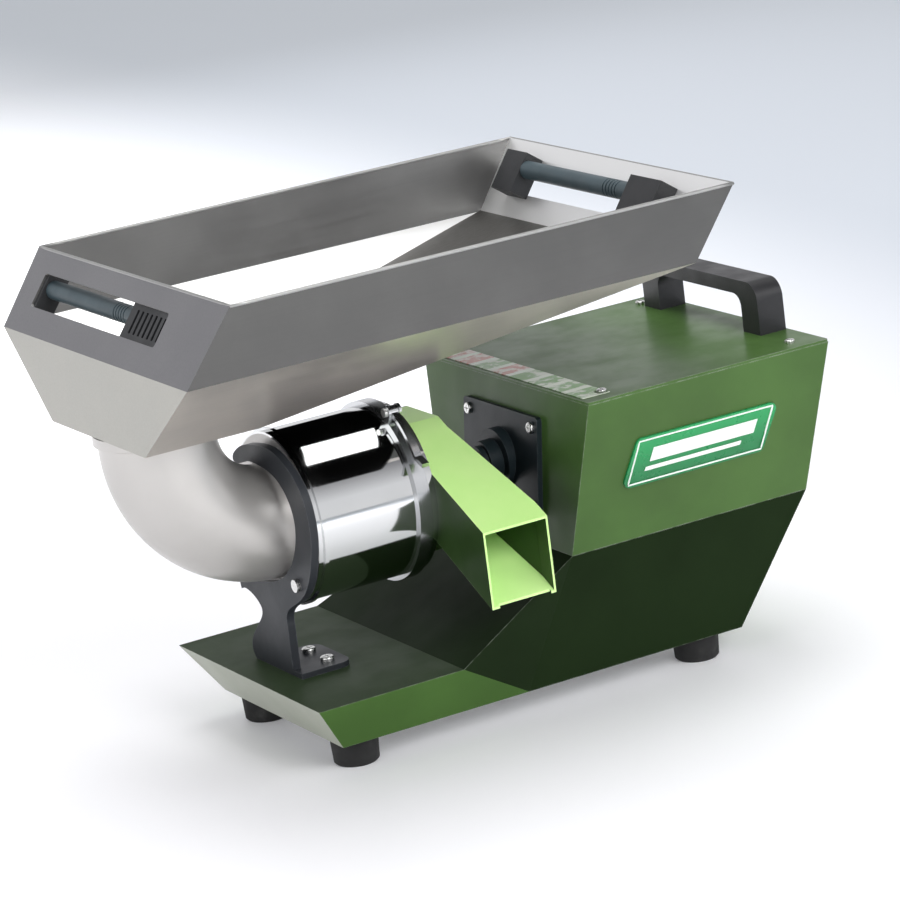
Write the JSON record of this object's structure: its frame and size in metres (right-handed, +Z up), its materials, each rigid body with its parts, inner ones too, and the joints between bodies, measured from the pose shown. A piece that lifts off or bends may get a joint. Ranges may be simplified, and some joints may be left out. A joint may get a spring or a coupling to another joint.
{
  "type": "bench-top electric fruit pulper",
  "caption": "Bench-top electric fruit pulper: lift-off steel hopper tray, feed elbow into a polished drum with a paddle rotor, side discharge chute and green geared motor housing.",
  "frame": {"origin": "centre of the bounding box in plan, at the level of the feet's undersides", "axes": "+Z up; +X from the feed elbow towards the motor housing; -Y the side the discharge chute opens on"},
  "size_m": [0.5184, 0.303, 0.3545],
  "materials": {
    "green_paint": "semi-gloss powder coat",
    "chute_paint": "lime faces with dark green outer sides",
    "stainless_sheet": "satin sheet",
    "polished_steel": "mirror polished",
    "elbow_steel": "smooth",
    "slate_paint": "satin",
    "plate_paint": "satin",
    "foot_rubber": "matte",
    "handle_plastic": "fine grain",
    "grip_plastic": "soft touch",
    "bracket_plastic": "fine grain",
    "zinc_screw": "zinc plated",
    "clamp_steel": "plated",
    "shaft_steel": "blackened",
    "gear_steel": "machined and oiled",
    "pinion_brass": "machined",
    "bearing_steel": "ground",
    "seal_rubber": "moulded",
    "rotor_steel": "welded",
    "bulkhead_zinc": "plain plate",
    "motor_alloy": "cast",
    "motor_core": "laminated",
    "fan_plastic": "moulded",
    "capacitor_can": "drawn",
    "switch_plastic": "moulded",
    "rocker_plastic": "glossy",
    "plaque_plastic": "green field with pale rim",
    "trim_strip": "plain pale trim"
  },
  "bodies": {
    "base": {"base_shell": "green_paint", "base_floor": "bulkhead_zinc", "foot_front_near": "foot_rubber", "foot_front_far": "foot_rubber", "foot_rear_near": "foot_rubber", "foot_rear_far": "foot_rubber", "foot_screws": "zinc_screw", "housing_shell": "green_paint", "lid_tabs": "green_paint", "housing_lid": "green_paint", "lid_screws": "zinc_screw", "bearing_plate": "plate_paint", "plate_screws": "zinc_screw", "front_bearing": "bearing_steel", "rear_bearing": "bearing_steel", "shaft_collar": "plate_paint", "drum_barrel": "polished_steel", "drum_front_head": "elbow_steel", "drum_rear_head": "elbow_steel", "clamp_ring": "clamp_steel", "clamp_pin": "zinc_screw", "feed_elbow": "elbow_steel", "elbow_collar": "elbow_steel", "support_bracket": "slate_paint", "bracket_bolts": "zinc_screw", "discharge_chute": "chute_paint", "shaft_seal": "seal_rubber", "gear_bulkhead": "bulkhead_zinc", "motor_case": "motor_alloy", "motor_end_bell": "motor_alloy", "motor_bolts": "zinc_screw", "run_capacitor": "capacitor_can", "switch_bezel": "switch_plastic", "power_gland": "switch_plastic", "vent_grille": "switch_plastic", "side_plaque": "plaque_plastic", "label_strip": "trim_strip", "carry_handle": "handle_plastic", "handle_screws": "zinc_screw"},
    "rotor": {"drive_shaft": "shaft_steel", "drive_gear": "gear_steel", "rotor_hub": "rotor_steel", "rotor_paddles": "rotor_steel"},
    "motor": {"motor_rotor": "motor_core", "motor_pinion": "pinion_brass", "cooling_fan": "fan_plastic"},
    "hopper": {"hopper_tray": "stainless_sheet", "hopper_spigot": "stainless_sheet", "front_grip": "grip_plastic", "front_grip_brackets": "bracket_plastic", "rear_grip": "grip_plastic", "rear_grip_brackets": "bracket_plastic"},
    "latch": {"clamp_lever": "clamp_steel"},
    "rocker": {"switch_rocker": "rocker_plastic"}
  },
  "joints": [
    {"name": "auger_spin", "type": "hinge", "parent": "base", "child": "rotor", "pos_m": [0.0555, 0, 0.1625], "axis": [1, 0, 0], "continuous": true},
    {"name": "motor_spin", "type": "hinge", "parent": "base", "child": "motor", "pos_m": [0.0555, 0, 0.1025], "axis": [1, 0, 0], "continuous": true},
    {"name": "hopper_lift", "type": "slide", "parent": "base", "child": "hopper", "axis": [0, 0, 1], "range_m": [0, 0.08]},
    {"name": "clamp_lever_turn", "type": "hinge", "parent": "base", "child": "latch", "pos_m": [-0.0525, -0.03357, 0.22563], "axis": [-1, 0, 0], "range_deg": [0, 95]},
    {"name": "rocker_tilt", "type": "hinge", "parent": "base", "child": "rocker", "pos_m": [0.25141, -0.058, 0.188], "axis": [0, -1, 0], "range_deg": [0, 14]}
  ],
  "couplings": [
    {"joint": "motor_spin", "follows": "auger_spin", "ratio": -3}
  ]
}
